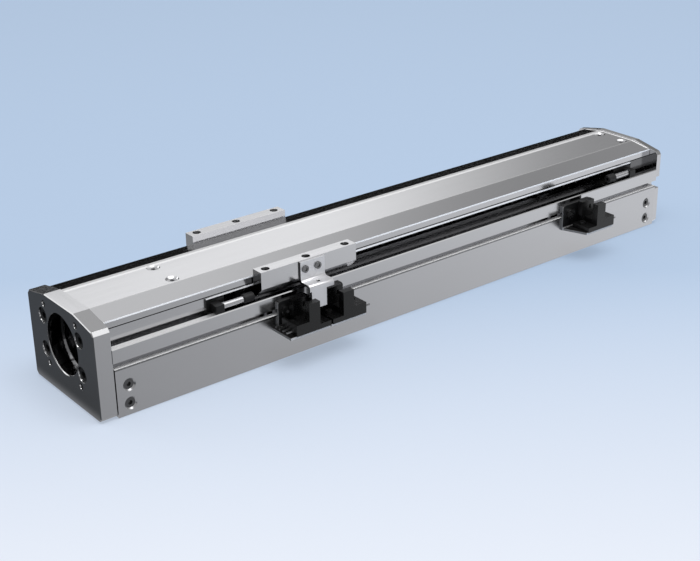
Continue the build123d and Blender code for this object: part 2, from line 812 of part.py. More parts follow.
def cap_screws():
    screw = socket_screw(cap_screw_head, cap_screw_height, cap_screw_radius - thread_gap, cap_screw_length,
                         cap_screw_socket)
    drive = [Pos(carriage_start - cap_thickness, y, z) * facing_minus_x(screw) for y, z in cap_screw_places()]
    far = [Pos(carriage_end + cap_thickness, y, z) * facing_plus_x(screw) for y, z in cap_screw_places()]
    return group(drive + far)


def wiper(x0, x1):
    """Rubber ring that wipes the screw."""
    return ring_x(screw_radius + 3.2, screw_radius + 0.3, x0, x1)


def carriage_balls(side):
    first = carriage_middle - ball_pitch * (balls_per_row - 1) / 2
    return group(Pos(first + i * ball_pitch, side * ball_y, ball_row_z) * Sphere(ball_radius)
                 for i in range(balls_per_row))


# Flag on the right wing

def sensor_flag():
    """Bent sheet on the wing: upright plate, shelf, a long tab for the sensors and a short lip beside it."""
    x1 = flag_x + flag_width
    inner_y = -wing_outer - flag_sheet
    tab_y = -flag_tab_y - flag_sheet
    low = flag_shelf_top - flag_sheet
    flag = block(flag_x, x1, inner_y, -wing_outer, low, wing_top - 0.5)
    flag += block(flag_x, x1, tab_y, -wing_outer, low, flag_shelf_top)
    flag += block(flag_x, x1, tab_y, -flag_tab_y, flag_shelf_top - flag_lip_drop, flag_shelf_top)
    flag += block(flag_x + flag_tab_inset, flag_x + flag_tab_inset + flag_tab_width, tab_y, -flag_tab_y,
                  flag_tab_bottom, flag_shelf_top)
    along = flag.edges().filter_by(Axis.X)
    outer = [e for e in along if abs(e.center().Y - tab_y) < 0.01 and abs(e.center().Z - flag_shelf_top) < 0.01]
    flag = fillet(outer, flag_bend)
    along = flag.edges().filter_by(Axis.X)
    inner = [e for e in along if abs(e.center().Y - inner_y) < 0.01 and abs(e.center().Z - flag_shelf_top) < 0.01]
    flag = fillet(inner, flag_bend)
    for x in flag_screw_xs():
        flag -= rod_y(flag_screw_radius + screw_clearance, x, flag_screw_z, inner_y - 1, -wing_outer + 1)
    return flag - rod_z(flag_hole_radius, flag_x + flag_hole_inset, flag_hole_y, low - 1, flag_shelf_top + 1)


def flag_screws():
    length = flag_sheet + flag_screw_depth - 0.6
    screw = facing_side(socket_screw(flag_head_radius, flag_head_height, flag_screw_radius - thread_gap,
                                     length, flag_screw_socket), -1)
    return group(Pos(x, -wing_outer - flag_sheet, flag_screw_z) * screw for x in flag_screw_xs())


# Sensors on the right side rail

def photo_sensor(x, pin_side):
    """Slotted photo sensor: two prongs on a base with a high end at its pins and a low flange."""
    half = sensor_length / 2
    base_top = shelf_top + sensor_base_height
    top = shelf_top + sensor_height
    middle = x - pin_side * prong_shift
    prong_end = middle + prong_length / 2
    body = block(x - half, x + half, -sensor_front, -sensor_back, shelf_top, shelf_top + sensor_flange_height)
    body += block(x + pin_side * half, middle - pin_side * prong_length / 2, -sensor_front, -sensor_back,
                  shelf_top, base_top)
    body += block(prong_end - prong_back_length, prong_end, -sensor_back - prong_back_depth, -sensor_back,
                  shelf_top, top)
    body += block(prong_end - prong_length, prong_end, -sensor_front, -sensor_front + prong_front_depth,
                  shelf_top, top)
    for side, height in ((pin_side, sensor_base_height - ear_step), (-pin_side, sensor_flange_height)):
        ear = x + side * (half - ear_inset)
        body -= rod_z(ear_radius, ear, -sensor_back - sensor_ear, shelf_top - 1, base_top + 1)
        body -= block(ear - ear_radius, ear + ear_radius, -sensor_back - sensor_ear, -sensor_back + 1,
                      shelf_top + height, base_top + 1)
    window_y = -(sensor_back + prong_back_depth + sensor_front - prong_front_depth) / 2
    body -= block(middle - window_half, middle + window_half, window_y - window_width / 2,
                  window_y + window_width / 2,
                  top - window_low, top - window_high)
    return body


def sensor_pins(x, pin_side):
    """Four flat terminal pins out of the sensor's end."""
    start = x + pin_side * sensor_length / 2
    end = start + pin_side * pin_length
    pins = []
    for i in range(4):
        y = -sensor_back - pin_inset - i * pin_pitch
        pins.append(block(start, end, y - 0.35, y + 0.35, shelf_top + 1.9, shelf_top + 2.5))
    return pins


def sensor_bracket(x0, x1, shelf_x0, shelf_x1, hole_x, cut):
    """Angle of sheet metal: an upright plate screwed over the T slot and a shelf for the sensor."""
    plate_y = -rail_half - sheet
    low = shelf_top - sheet
    upright = block(x0, x1, plate_y, -rail_half, low, bracket_top)
    corner = [e for e in upright.edges().filter_by(Axis.Y) if e.center().Z > bracket_top - 0.1]
    upright = fillet(corner, bracket_corner)
    plane = Plane.XY.offset(low)
    outline = Polyline((shelf_x0, -rail_half), (shelf_x1, -rail_half), (shelf_x1, -shelf_front),
                       (shelf_x0 + cut, -shelf_front), close=True)
    shelf = extrude(plane * make_face(outline), amount=sheet)
    bracket = upright + shelf
    hole = bracket_screw_radius + screw_clearance
    return bracket - rod_y(hole, hole_x, slot_centre_z, plate_y - 1, -rail_half + 1)


def bracket_hole_xs():
    return [home_hole_x, drive_limit_hole_x, far_limit_hole_x]


def home_sensor_bracket():
    return sensor_bracket(home_hole_x - home_plate_margin, home_sensor_x + bracket_reach,
                          home_sensor_x - home_shelf_reach, home_sensor_x + sensor_length / 2, home_hole_x, 0.0)


def drive_limit_sensor_bracket():
    return sensor_bracket(limit_bracket_start, drive_limit_sensor_x + bracket_reach, limit_bracket_start,
                          drive_limit_sensor_x + sensor_length / 2, drive_limit_hole_x, 0.0)


def far_limit_sensor_bracket():
    start = far_limit_hole_x - far_plate_margin
    return sensor_bracket(start, far_limit_sensor_x + bracket_reach, start,
                          far_limit_sensor_x + sensor_length / 2, far_limit_hole_x, far_shelf_cut)


def bracket_screws():
    screw = facing_side(socket_screw(bracket_head_radius, bracket_head_height, bracket_screw_radius - thread_gap,
                                     sheet + slot_lip + nut_height, 2.0), -1)
    return group(Pos(x, -rail_half - sheet, slot_centre_z) * screw for x in bracket_hole_xs())


def slot_nuts():
    """Square nuts in the T slot, drawn against the slot's lips by the bracket screws."""
    face = -rail_half + slot_lip
    nuts = []
    for x in bracket_hole_xs():
        nut = block(x - nut_side / 2, x + nut_side / 2, face, face + nut_height,
                    slot_centre_z - nut_side / 2, slot_centre_z + nut_side / 2)
        nuts.append(nut - rod_y(bracket_screw_radius, x, slot_centre_z, face - 1, face + nut_height + 1))
    return group(nuts)


def sensor_screws():
    """Small screws in the sensors' ears, down into the shelves."""
    places = []
    for x, pin_side in ((home_sensor_x, -1), (drive_limit_sensor_x, 1), (far_limit_sensor_x, 1)):
        for side, height in ((pin_side, sensor_base_height - ear_step), (-pin_side, sensor_flange_height)):
            screw = socket_screw(sensor_screw_head, sensor_screw_height, sensor_screw_radius, height,
                                 sensor_screw_socket)
            places.append(Pos(x + side * (sensor_length / 2 - ear_inset), -sensor_back - sensor_ear,
                              shelf_top + height) * screw)
    return group(places)


def build_nodes():
    drive_pair = drive_bearings()
    far_outer, far_inner, far_balls = far_bearing()
    nodes = {
        "base_rail": base_rail(),
        "side_rail_right": side_rail(-1),
        "side_rail_left": side_rail(1),
        "side_rail_screws": side_rail_screws(),
        "guide_strip_right": guide_strip(-1),
        "guide_strip_left": guide_strip(1),
        "drive_rail_clamps": rail_clamps(drive_housing_end, drive_housing_end + clamp_length),
        "far_rail_clamps": rail_clamps(far_housing_start - clamp_length, far_housing_start),
        "drive_end_plate": drive_end_plate(),
        "drive_plate_screws": drive_plate_screws(),
        "drive_bearing_housing": drive_bearing_housing(),
        "support_bearing_housing": support_bearing_housing(),
        "housing_screws": housing_screws(),
        "far_end_plate": far_end_plate(),
        "far_plate_screws": far_plate_screws(),
        "top_cover": top_cover(),
        "cover_screws": cover_screws(),
        "drive_bearing_outer_rings": group([pair[0] for pair in drive_pair]),
        "drive_bearing_inner_rings": group([pair[1] for pair in drive_pair]),
        "drive_bearing_balls": group([ball for pair in drive_pair for ball in pair[2]]),
        "support_bearing_outer_ring": far_outer,
        "support_bearing_inner_ring": far_inner,
        "support_bearing_balls": group(far_balls),
        "bearing_retainer_ring": bearing_retainer_ring(),
        "ball_screw_shaft": ball_screw_shaft(),
        "bearing_lock_nut": bearing_lock_nut(),
        "support_circlip": support_circlip(),
        "drive_stop_bar": at_drive_end(stop_bar(drive_stop_length)),
        "far_stop_bar": at_far_end(stop_bar(far_stop_length)),
        "stop_bar_screws": stop_bar_screws(),
        "drive_bumper_studs": bumper_studs(drive_lug_face, drive_stud_end),
        "far_bumper_studs": bumper_studs(far_stud_end, far_lug_face),
        "drive_bumpers": bumpers(drive_stud_end, drive_bumper_face, drive_bumper_face - bumper_hollow),
        "far_bumpers": bumpers(far_bumper_face, far_stud_end, far_bumper_face),
        "carriage_block": carriage_block(),
        "ball_nut": ball_nut(),
        "end_cap_drive": end_cap(carriage_start - cap_thickness, carriage_start),
        "end_cap_far": end_cap(carriage_end, carriage_end + cap_thickness),
        "end_cap_screws": cap_screws(),
        "wiper_drive": wiper(carriage_start - cap_thickness - wiper_thickness, carriage_start - cap_thickness),
        "wiper_far": wiper(carriage_end + cap_thickness, carriage_end + cap_thickness + wiper_thickness),
        "carriage_balls_right": carriage_balls(-1),
        "carriage_balls_left": carriage_balls(1),
        "sensor_flag": sensor_flag(),
        "flag_screws": flag_screws(),
        "home_sensor": photo_sensor(home_sensor_x, -1),
        "drive_limit_sensor": photo_sensor(drive_limit_sensor_x, 1),
        "far_limit_sensor": photo_sensor(far_limit_sensor_x, 1),
        "sensor_pins": group(sensor_pins(home_sensor_x, -1) + sensor_pins(drive_limit_sensor_x, 1)
                             + sensor_pins(far_limit_sensor_x, 1)),
        "home_sensor_bracket": home_sensor_bracket(),
        "drive_limit_sensor_bracket": drive_limit_sensor_bracket(),
        "far_limit_sensor_bracket": far_limit_sensor_bracket(),
        "bracket_screws": bracket_screws(),
        "slot_nuts": slot_nuts(),
        "sensor_screws": sensor_screws(),
    }
    return nodes


os.makedirs("parts", exist_ok=True)
for name, shape in build_nodes().items():
    export_step(shape, "parts/" + name + ".step")
    print(name, len(shape.solids()), round(shape.volume, 1))
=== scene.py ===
import bpy
import json
import math
from mathutils import Matrix, Vector


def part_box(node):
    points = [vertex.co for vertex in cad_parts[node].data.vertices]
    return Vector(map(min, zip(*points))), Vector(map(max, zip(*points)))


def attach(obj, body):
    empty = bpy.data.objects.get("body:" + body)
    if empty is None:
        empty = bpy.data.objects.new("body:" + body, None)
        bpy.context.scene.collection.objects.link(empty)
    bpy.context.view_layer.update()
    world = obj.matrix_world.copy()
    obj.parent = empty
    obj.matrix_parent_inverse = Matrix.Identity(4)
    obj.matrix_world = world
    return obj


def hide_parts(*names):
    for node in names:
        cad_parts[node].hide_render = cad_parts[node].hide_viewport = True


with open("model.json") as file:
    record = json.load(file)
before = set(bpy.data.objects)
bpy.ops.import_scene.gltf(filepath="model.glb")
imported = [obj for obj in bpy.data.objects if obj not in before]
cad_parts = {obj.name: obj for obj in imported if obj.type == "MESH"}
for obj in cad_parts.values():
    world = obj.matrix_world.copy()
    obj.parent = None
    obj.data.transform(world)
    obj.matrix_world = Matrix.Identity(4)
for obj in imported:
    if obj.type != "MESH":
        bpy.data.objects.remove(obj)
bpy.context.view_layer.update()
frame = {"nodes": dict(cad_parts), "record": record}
nodes = frame["nodes"]
MM = 0.001
SCREW_Z = 26.2                      # height of the screw's axis, in millimetres

# Camera, at the photograph's viewing angle
CAMERA_ANGLES = (38.157, 23.864, -0.885)        # yaw from +Y towards +X, pitch and roll, in degrees
CAMERA_PLACE = (-404.4, -486.5, 287.0)          # in millimetres
FOCAL_PIXELS = 1351.65              # focal length in pixels of a picture 700 wide
PICTURE_WIDTH = 700.0
SENSOR_WIDTH = 36.0
CAMERA_SHIFT = (-0.002, -0.0073)


def make_camera():
    yaw, pitch, roll = map(math.radians, CAMERA_ANGLES)
    forward = Vector((math.cos(pitch) * math.sin(yaw), math.cos(pitch) * math.cos(yaw), -math.sin(pitch)))
    level = Vector((math.cos(yaw), -math.sin(yaw), 0.0))
    up = level.cross(forward)
    right = level * math.cos(roll) + up * math.sin(roll)
    over = up * math.cos(roll) - level * math.sin(roll)
    data = bpy.data.cameras.new("photo_camera")
    data.sensor_width = SENSOR_WIDTH
    data.lens = FOCAL_PIXELS / PICTURE_WIDTH * SENSOR_WIDTH
    data.shift_x, data.shift_y = CAMERA_SHIFT
    data.clip_start = 0.01
    data.clip_end = 50.0
    camera = bpy.data.objects.new("photo_camera", data)
    bpy.context.scene.collection.objects.link(camera)
    turn = Matrix((right, over, -forward)).transposed().to_4x4()
    camera.matrix_world = Matrix.Translation(Vector(CAMERA_PLACE) * MM) @ turn
    bpy.context.scene.camera = camera


make_camera()


# Node helpers
class Tree:
    """Short calls that add nodes to a tree."""

    def __init__(self, tree, output):
        self.tree = tree
        self.tree.nodes.clear()
        self.out = self.add(output)

    def add(self, kind, **values):
        node = self.tree.nodes.new(kind)
        for key, value in values.items():
            setattr(node, key, value)
        return node

    def link(self, a, b):
        self.tree.links.new(a, b)

    def noise(self, scale, stretch, detail=3.0, roughness=0.55):
        """Noise in the object's own space, stretched by the three factors."""
        coord = self.add("ShaderNodeTexCoord")
        mapping = self.add("ShaderNodeMapping")
        mapping.inputs["Scale"].default_value = stretch
        noise = self.add("ShaderNodeTexNoise")
        noise.inputs["Scale"].default_value = scale
        noise.inputs["Detail"].default_value = detail
        noise.inputs["Roughness"].default_value = roughness
        self.link(coord.outputs["Object"], mapping.inputs["Vector"])
        self.link(mapping.outputs["Vector"], noise.inputs["Vector"])
        return noise.outputs["Fac"]

    def remap(self, value, low, high, to_low, to_high, smooth=False):
        node = self.add("ShaderNodeMapRange")
        if smooth:
            node.interpolation_type = "SMOOTHSTEP"
        node.inputs["From Min"].default_value = low
        node.inputs["From Max"].default_value = high
        node.inputs["To Min"].default_value = to_low
        node.inputs["To Max"].default_value = to_high
        self.link(value, node.inputs["Value"])
        return node.outputs["Result"]

    def math(self, operation, a, b):
        node = self.add("ShaderNodeMath", operation=operation)
        for socket, value in zip(node.inputs, (a, b)):
            if isinstance(value, (int, float)):
                socket.default_value = value
            else:
                self.link(value, socket)
        return node.outputs["Value"]

    def both(self, a, b):
        return self.math("MULTIPLY", a, b)

    def over(self, value, limit):
        return self.math("GREATER_THAN", value, limit)

    def under(self, value, limit):
        return self.math("LESS_THAN", value, limit)

    def dot(self, a, b):
        node = self.add("ShaderNodeVectorMath", operation="DOT_PRODUCT")
        for socket, value in zip(node.inputs, (a, b)):
            if isinstance(value, (tuple, list)):
                socket.default_value = value
            else:
                self.link(value, socket)
        return node.outputs["Value"]

    def mix(self, factor, a, b):
        node = self.add("ShaderNodeMix", data_type="RGBA")
        self.link(factor, node.inputs[0])
        for socket, value in ((node.inputs[6], a), (node.inputs[7], b)):
            if isinstance(value, (tuple, list)):
                socket.default_value = (value[0], value[1], value[2], 1.0)
            else:
                self.link(value, socket)
        return node.outputs[2]

    def axes(self):
        """The object's own X, Y and Z, in metres."""
        coord = self.add("ShaderNodeTexCoord")
        split = self.add("ShaderNodeSeparateXYZ")
        self.link(coord.outputs["Object"], split.inputs[0])
        return split.outputs

    def normals(self):
        """The surface's direction in the object's own axes."""
        coord = self.add("ShaderNodeTexCoord")
        split = self.add("ShaderNodeSeparateXYZ")
        self.link(coord.outputs["Normal"], split.inputs[0])
        return split.outputs

    def band(self, value, low, high, soft=0.15):
        """1 between low and high, both in millimetres, with soft ends."""
        rise = self.remap(value, (low - soft) * MM, (low + soft) * MM, 0.0, 1.0)
        fall = self.remap(value, (high - soft) * MM, (high + soft) * MM, 1.0, 0.0)
        return self.both(rise, fall)

    def edges(self, radius):
        """1 on sharp edges and 0 on flat faces."""
        flat_from, sharp_from = 0.98, 0.85
        bevel = self.add("ShaderNodeBevel", samples=4)
        bevel.inputs["Radius"].default_value = radius
        geometry = self.add("ShaderNodeNewGeometry")
        likeness = self.dot(bevel.outputs["Normal"], geometry.outputs["Normal"])
        return self.remap(likeness, flat_from, sharp_from, 0.0, 1.0)


def material_tree(name):
    material = bpy.data.materials.new(name)
    material.use_nodes = True
    return material, Tree(material.node_tree, "ShaderNodeOutputMaterial")


def tint(color, factor):
    return tuple(min(1.0, c * factor) for c in color)


WORN_RADIUS = 0.00015               # reach of the wear at an edge, in metres
BUMP_HEIGHT = 0.00003               # in metres
COOL = 1.02                         # share of blue against red in bare metal


def finish_shader(t, shader, height, strength):
    """A fine bump on the shader, and the shader to the output."""
    bump = t.add("ShaderNodeBump")
    bump.inputs["Strength"].default_value = strength
    bump.inputs["Distance"].default_value = BUMP_HEIGHT
    t.link(height, bump.inputs["Height"])
    t.link(bump.outputs["Normal"], shader.inputs["Normal"])
    t.link(shader.outputs["BSDF"], t.out.inputs["Surface"])


def metal(name, value, rough, grain, depth, spread, cloud, wear=0.3, metallic=1.0, marks=None):
    """Machined or brushed metal: stretched grain in colour, roughness and bump, soft clouds and bright worn
    edges. marks gives places painted with a tone of their own, most of them painted highlights and painted
    shade, each as (share, brightness, metallic)."""
    color = (value, value, value * COOL)
    material, t = material_tree(name)
    shader = t.add("ShaderNodeBsdfPrincipled")
    shader.inputs["Metallic"].default_value = metallic
    fine = t.noise(60.0, grain, 4.0, 0.6)
    coarse = t.noise(9.0, (1.0, 1.6, 1.6), 3.0, 0.5)
    streak = t.noise(18.0, tuple(g * 0.35 + 0.65 for g in grain), 2.0, 0.5)
    worn = t.both(t.edges(WORN_RADIUS), t.remap(t.noise(420.0, (1, 1, 1), 3.0), 0.35, 0.7, 0.3, 1.0))
    worn = t.both(worn, wear)
    darker, lighter = tint(color, 1.0 - spread * 0.5), tint(color, 1.0 + spread * 0.5)
    mixed = t.mix(t.remap(fine, 0.3, 0.7, 0.0, 1.0), darker, lighter)
    clouded = t.mix(t.remap(coarse, 0.35, 0.65, 0.0, 0.4), mixed, tint(color, 1.0 - cloud * 1.5))
    toned = t.mix(worn, clouded, tint(color, 1.3))
    bare_and_painted = None
    for share, brightness, metal_share in (marks(t) if marks else []):
        toned = t.mix(share, toned, (brightness, brightness, brightness * 1.01))
        if metal_share < metallic:
            part = t.both(share, metallic - metal_share)
            bare_and_painted = t.math("MAXIMUM", bare_and_painted, part) if bare_and_painted else part
    if bare_and_painted:
        t.link(t.math("SUBTRACT", metallic, bare_and_painted), shader.inputs["Metallic"])
    t.link(toned, shader.inputs["Base Color"])
    base = t.remap(fine, 0.25, 0.75, rough - spread * 0.4, rough + spread * 0.4)
    base = t.math("ADD", base, t.remap(streak, 0.3, 0.7, -spread * 0.3, spread * 0.3))
    t.link(t.math("SUBTRACT", base, t.both(worn, 0.1)), shader.inputs["Roughness"])
    finish_shader(t, shader, fine, depth)
    return material


def moulded(name, value, rough, texture, depth, wear, specular):
    """Moulded plastic or rubber: fine texture, soft sheen changes and slightly lighter edges."""
    color = (value, value, value * 1.08)
    material, t = material_tree(name)
    shader = t.add("ShaderNodeBsdfPrincipled")
    shader.inputs["Specular IOR Level"].default_value = specular
    fine = t.noise(texture, (1, 1, 1), 3.0, 0.6)
    coarse = t.noise(45.0, (1, 1, 1), 3.0, 0.5)
    worn = t.both(t.edges(WORN_RADIUS), wear)
    mixed = t.mix(t.remap(coarse, 0.3, 0.7, 0.0, 1.0), tint(color, 0.85), tint(color, 1.2))
    t.link(t.mix(worn, mixed, tuple(min(1.0, c * 2.2 + 0.01) for c in color)), shader.inputs["Base Color"])
    base = t.remap(coarse, 0.3, 0.7, rough - 0.05, rough + 0.05)
    t.link(t.math("ADD", base, t.remap(fine, 0.3, 0.7, -0.04, 0.04)), shader.inputs["Roughness"])
    finish_shader(t, shader, fine, depth)
    return material


# Marks. Places are in millimetres. A face's way is told by one part of its direction, from -1 to 1.
TOWARD_DRIVE_END = -0.7
TOWARD_RIGHT = -0.7
LEANS_RIGHT = -0.08
NEARLY_UP = 0.9
LEVEL = 0.95
SLANTED = 0.4


def cover_marks(t):
    """Painted highlights: white lines on the rolled edges and on the lip's bead, light strips beside both
    ridges and a light line at the far end. Painted shade: the dark groove over the lip's bead.
    """
    faces_sideways = 0.6
    edge_z, bead_z, groove_z = (42.4, 43.4), (38.2, 39.0), (39.25, 39.75)
    ridge_y, crease_y, crease_z = (9.9, 14.3), (-12.1, -11.4), (44.0, 46.0)
    end_x, end_z = (171.7, 173.0), (43.3, 46.0)
    x, y, z = t.axes()
    side = t.over(t.math("ABSOLUTE", t.normals()[1], 0.0), faces_sideways)
    edge = t.both(side, t.band(z, *edge_z))
    bead = t.both(side, t.band(z, *bead_z))
    groove = t.band(z, *groove_z, 0.1)
    ridge = t.band(y, *ridge_y, 0.2)
    crease = t.both(t.band(y, *crease_y, 0.1), t.band(z, *crease_z))
    end = t.both(t.band(x, *end_x), t.band(z, *end_z))
    # groove is painted shade; ridge, crease, edge, bead and end are painted highlights
    return [(groove, 0.16, 1.0), (ridge, 0.62, 0.15), (crease, 0.62, 0.8), (edge, 1.0, 0.0), (bead, 1.0, 0.0),
            (end, 0.85, 0.1)]


def side_marks(t):
    """The lip under the T slot: a painted highlight on its top, made pale and not metallic, and a painted
    dark reflection on the rolled edge at its front.
    """
    faces_up = 0.6
    rolled_z, painted_top_z = (22.1, 23.0), (22.4, 23.4)
    z = t.axes()[2]
    top = t.over(t.normals()[2], faces_up)
    flat = t.math("SUBTRACT", 1.0, top)
    # Painted dark reflection on the rolled front edge, then the painted highlight on the lip's top
    return [(t.both(flat, t.band(z, *rolled_z, 0.1)), 0.26, 1.0),
            (t.both(top, t.band(z, *painted_top_z, 0.1)), 0.95, 0.0)]


def plate_marks(t):
    """Painted shade: the pilot bore's wall is dark inside its bright mouth, and the sloping edges are painted
    less bright.
    """
    dark_radius = 14.9
    mouth_ends, wall_starts = 0.1799, 0.1803        # in metres, from the rail's middle
    corner_below = 0.88
    x, y, z = t.axes()
    turned = t.normals()
    across = t.math("ADD", t.math("POWER", y, 2.0), t.math("POWER", t.math("SUBTRACT", z, SCREW_Z * MM), 2.0))
    inside = t.under(across, (dark_radius * MM) ** 2)
    deep = t.remap(t.math("ABSOLUTE", x, 0.0), mouth_ends, wall_starts, 1.0, 0.0)
    slope = t.both(t.under(turned[1], LEANS_RIGHT), t.over(turned[2], NEARLY_UP))
    corner = t.both(t.over(turned[2], SLANTED), t.under(turned[2], corner_below))
    # All three are painted shade
    return [(t.both(inside, deep), 0.10, 1.0), (slope, 0.40, 1.0), (corner, 0.50, 1.0)]


def rail_marks(t):
    """Painted shade makes the rim's broken corner less bright, and a painted highlight lightens its top
    beside the drive housing.
    """
    rim_from, rim_full = 0.0290, 0.0300             # heights, in metres
    painted_until, painted_gone = -0.130, -0.118          # along the rail, in metres
    x, y, z = t.axes()
    turned = t.normals()
    corner = t.both(t.over(turned[2], SLANTED), t.under(turned[2], NEARLY_UP))
    top = t.both(t.over(turned[2], LEVEL), t.remap(z, rim_from, rim_full, 0.0, 1.0))
    beside = t.remap(x, painted_until, painted_gone, 1.0, 0.0)
    # The corner is painted shade, the top beside the housing a painted highlight
    return [(corner, 0.34, 1.0), (t.both(top, beside), 0.62, 0.2)]


def carriage_marks(t):
    """Painted shade on the drive ends of the wings, the right one darker than the left."""
    wing_from = 0.02                # to each side of the middle, in metres
    y = t.axes()[1]
    ends = t.under(t.normals()[0], TOWARD_DRIVE_END)
    right = t.both(ends, t.under(y, -wing_from))
    left = t.both(ends, t.over(y, wing_from))
    # Both are painted shade, deeper on the right
    return [(right, 0.12, 1.0), (left, 0.42, 1.0)]


def flag_marks(t):
    """Painted shade on the sheet's sheared edge toward the drive end."""
    # Painted shade, nearly black
    return [(t.under(t.normals()[0], TOWARD_DRIVE_END), 0.03, 0.7)]


def bracket_marks(t):
    """Bare sheared edges of the black sheet."""
    low_edge, above_edge = 0.0172, 0.0178           # heights, in metres
    z = t.axes()[2]
    turned = t.normals()
    front = t.both(t.under(turned[1], TOWARD_RIGHT), t.remap(z, low_edge, above_edge, 1.0, 0.0))
    end = t.under(turned[0], TOWARD_DRIVE_END)
    return [(front, 0.55, 0.2), (end, 0.17, 0.3)]


# Grain: the stretch of the noise along X, Y and Z
ALONG_X = (1.0, 60.0, 60.0)
ALONG_Y = (60.0, 1.0, 60.0)
EVEN = (12.0, 12.0, 12.0)

MATERIALS = {
    "cover_metal": metal("cover_anodised", 0.60, 0.12, ALONG_X, 0.05, 0.03, 0.02, marks=cover_marks),
    "rail_steel": metal("rail_ground", 0.62, 0.13, ALONG_X, 0.06, 0.05, 0.04, marks=rail_marks),
    # Painted shade: the guide strips' steel is made darker, for the dark gap under the cover's lip
    "strip_steel": metal("strip_in_shade", 0.34, 0.16, ALONG_X, 0.06, 0.05, 0.04),
    "side_plate": metal("side_anodised", 0.60, 0.24, ALONG_X, 0.08, 0.04, 0.04, marks=side_marks),
    "end_plate_metal": metal("end_plate_milled", 0.60, 0.14, ALONG_Y, 0.06, 0.04, 0.03, marks=plate_marks),
    "housing_metal": metal("housing_anodised", 0.60, 0.13, ALONG_X, 0.03, 0.03, 0.03),
    "carriage_metal": metal("carriage_ground", 0.68, 0.18, ALONG_X, 0.06, 0.04, 0.03, marks=carriage_marks),
    # Painted shade: the screw's steel is made nearly black, for the dark inside under the cover's lip
    "screw_steel": metal("screw_in_shade", 0.09, 0.22, ALONG_Y, 0.04, 0.04, 0.04),
    "bearing_steel": metal("bearing_ground", 0.60, 0.18, EVEN, 0.04, 0.04, 0.03),
    "ball_steel": metal("ball_polished", 0.72, 0.08, EVEN, 0.02, 0.02, 0.02, 0.0),
    "fastener_steel": metal("fastener_nickel", 0.50, 0.26, EVEN, 0.05, 0.05, 0.05),
    "black_steel": metal("black_oxide", 0.016, 0.34, EVEN, 0.08, 0.08, 0.10, 0.6, 0.5),
    "stud_steel": metal("stud_turned", 0.55, 0.28, ALONG_Y, 0.04, 0.03, 0.03),
    "bumper_rubber": moulded("bumper_rubber", 0.008, 0.5, 700.0, 0.3, 0.3, 0.35),
    "sensor_plastic": moulded("sensor_plastic", 0.002, 0.30, 1100.0, 0.15, 0.5, 0.5),
    "pin_metal": metal("pin_tinned", 0.30, 0.3, EVEN, 0.04, 0.05, 0.05),
    "sheet_steel": metal("flag_zinc", 0.74, 0.30, ALONG_X, 0.05, 0.04, 0.03, 0.3, 0.7, marks=flag_marks),
    "cap_plastic": moulded("cap_plastic", 0.02, 0.45, 900.0, 0.25, 0.3, 0.5),
    "wiper_rubber": moulded("wiper_rubber", 0.015, 0.6, 700.0, 0.3, 0.2, 0.35),
}

FAR_HOUSING = metal("housing_in_shade", 0.17, 0.16, ALONG_X, 0.03, 0.03, 0.03)
THREAD = metal("thread_in_shade", 0.07, 0.35, EVEN, 0.05, 0.05, 0.05)
BRACKET = metal("bracket_sheet", 0.016, 0.34, EVEN, 0.08, 0.08, 0.10, 0.6, 0.5, marks=bracket_marks)
SUNK_SCREW = metal("sunk_screw", 0.14, 0.22, EVEN, 0.05, 0.05, 0.05)
BLACK_SCREW = metal("black_screw", 0.22, 0.25, EVEN, 0.06, 0.06, 0.06)

SENSORS = ("home_sensor", "drive_limit_sensor", "far_limit_sensor")
BRACKETS = tuple(name + "_bracket" for name in SENSORS)

OWN_MATERIAL = {
    "support_bearing_housing": FAR_HOUSING,
    "side_rail_screws": SUNK_SCREW,
    "flag_screws": BLACK_SCREW,
    "bracket_screws": BLACK_SCREW,
    **{name: BRACKET for name in BRACKETS},
}

slots = {entry["node"]: entry["material_slot"] for entry in frame["record"]["subparts"]}


def dress(obj, material):
    if len(obj.data.materials) == 0:
        obj.data.materials.append(material)
    for slot in obj.material_slots:
        slot.material = material


WELD_DISTANCE = 0.000002            # in metres
FLAT_ANGLE = 0.5                    # degrees between faces that count as one flat face
SHARP_ANGLE = 35                    # degrees from which an edge is rounded


def soften(obj, width):
    """Small rounded edges, so that they catch the light as real ones do. The width is in millimetres."""
    weld = obj.modifiers.new("weld", "WELD")
    weld.merge_threshold = WELD_DISTANCE
    flat = obj.modifiers.new("flat", "DECIMATE")
    flat.decimate_type = "DISSOLVE"
    flat.angle_limit = math.radians(FLAT_ANGLE)
    bevel = obj.modifiers.new("bevel", "BEVEL")
    bevel.width = width * MM
    bevel.segments = 2
    bevel.limit_method = "ANGLE"
    bevel.angle_limit = math.radians(SHARP_ANGLE)
    bevel.harden_normals = True
    bevel.use_clamp_overlap = True


# Widths of the rounded edges, in millimetres
SOFT_GROUPS = [
    (0.25, ("carriage_block",)),
    (0.22, ("side_rail_right", "side_rail_left", "top_cover")),
    (0.15, ("drive_end_plate", "far_end_plate", "drive_stop_bar", "far_stop_bar")),
    (0.12, ("sensor_flag",) + SENSORS + BRACKETS),
]
SOFT = {name: width for width, names in SOFT_GROUPS for name in names}

for name, obj in nodes.items():
    dress(obj, OWN_MATERIAL.get(name, MATERIALS[slots[name]]))
    if name in SOFT:
        soften(obj, SOFT[name])


# Meshes of the scene's own pieces
def add_piece(name, verts, faces, material, body):
    mesh = bpy.data.meshes.new(name)
    mesh.from_pydata([tuple(c * MM for c in v) for v in verts], [], faces)
    mesh.validate()
    mesh.update()
    for polygon in mesh.polygons:
        polygon.use_smooth = True
    obj = bpy.data.objects.new(name, mesh)
    bpy.context.scene.collection.objects.link(obj)
    obj.data.materials.append(material)
    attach(obj, body)
    return obj


